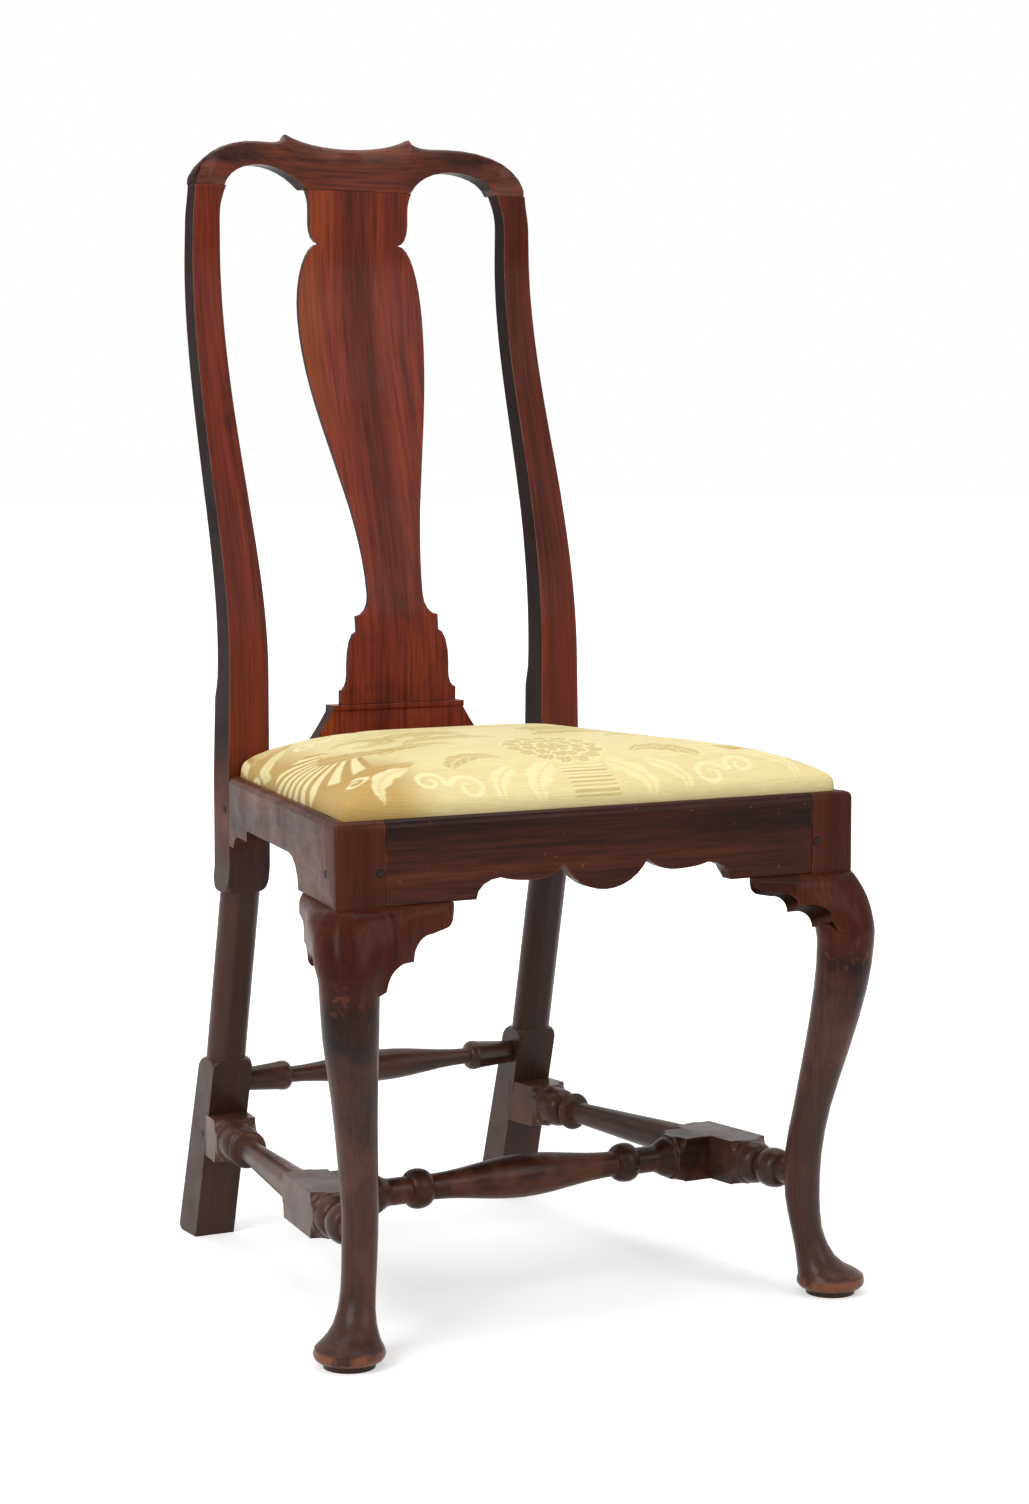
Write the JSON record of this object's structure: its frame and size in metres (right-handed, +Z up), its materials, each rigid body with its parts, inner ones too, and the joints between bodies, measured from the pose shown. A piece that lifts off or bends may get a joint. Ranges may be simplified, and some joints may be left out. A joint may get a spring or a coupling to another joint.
{
  "type": "side chair",
  "caption": "Queen Anne wooden side chair: crooked rear posts, vase splat, eared crest, cabriole front legs on pad feet, turned stretchers and a damask slip seat that lifts out.",
  "frame": {"origin": "on the floor, under the middle of the chair's box", "axes": "+Z up, -Y towards the sitter's front, +X to the right of the picture when the chair is seen from the front"},
  "size_m": [0.5258, 0.5272, 1.026],
  "materials": {
    "back_wood": "old red-brown varnish, satin",
    "frame_wood": "old brown varnish, satin, worn at the edges",
    "leg_wood": "dark old varnish, satin, worn on the knees and feet",
    "pin_wood": "dark end grain",
    "inner_wood": "unfinished",
    "webbing": "woven jute",
    "hessian": "open plain weave",
    "hair_stuffing": "curled hair",
    "damask": "pale yellow silk damask, tone on tone"
  },
  "bodies": {
    "chair_frame": {"crest_rail": "back_wood", "splat": "back_wood", "splat_shoe": "back_wood", "left_rear_post": "back_wood", "right_rear_post": "back_wood", "front_seat_rail": "frame_wood", "left_seat_rail": "frame_wood", "right_seat_rail": "frame_wood", "rear_seat_rail": "frame_wood", "left_corner_block": "inner_wood", "right_corner_block": "inner_wood", "left_front_leg": "leg_wood", "right_front_leg": "leg_wood", "left_front_knee_bracket": "leg_wood", "right_front_knee_bracket": "leg_wood", "left_side_knee_bracket": "leg_wood", "right_side_knee_bracket": "leg_wood", "left_side_stretcher": "leg_wood", "right_side_stretcher": "leg_wood", "medial_stretcher": "leg_wood", "rear_stretcher": "leg_wood", "left_front_rail_pin": "pin_wood", "right_front_rail_pin": "pin_wood", "left_side_rail_pin": "pin_wood", "right_side_rail_pin": "pin_wood", "left_post_pin": "pin_wood", "right_post_pin": "pin_wood", "left_stretcher_pin": "pin_wood", "right_stretcher_pin": "pin_wood"},
    "slip_seat": {"slip_front_slat": "inner_wood", "slip_rear_slat": "inner_wood", "left_slip_side_slat": "inner_wood", "right_slip_side_slat": "inner_wood", "web_lengthwise_1": "webbing", "web_lengthwise_2": "webbing", "web_lengthwise_3": "webbing", "web_crosswise_1": "webbing", "web_crosswise_2": "webbing", "web_crosswise_3": "webbing", "hessian_underlay": "hessian", "hair_stuffing": "hair_stuffing", "seat_cover": "damask"}
  },
  "joints": [
    {"name": "slip_seat_lift", "type": "slide", "parent": "chair_frame", "child": "slip_seat", "axis": [0, 0, 1], "range_m": [0, 0.06]}
  ]
}
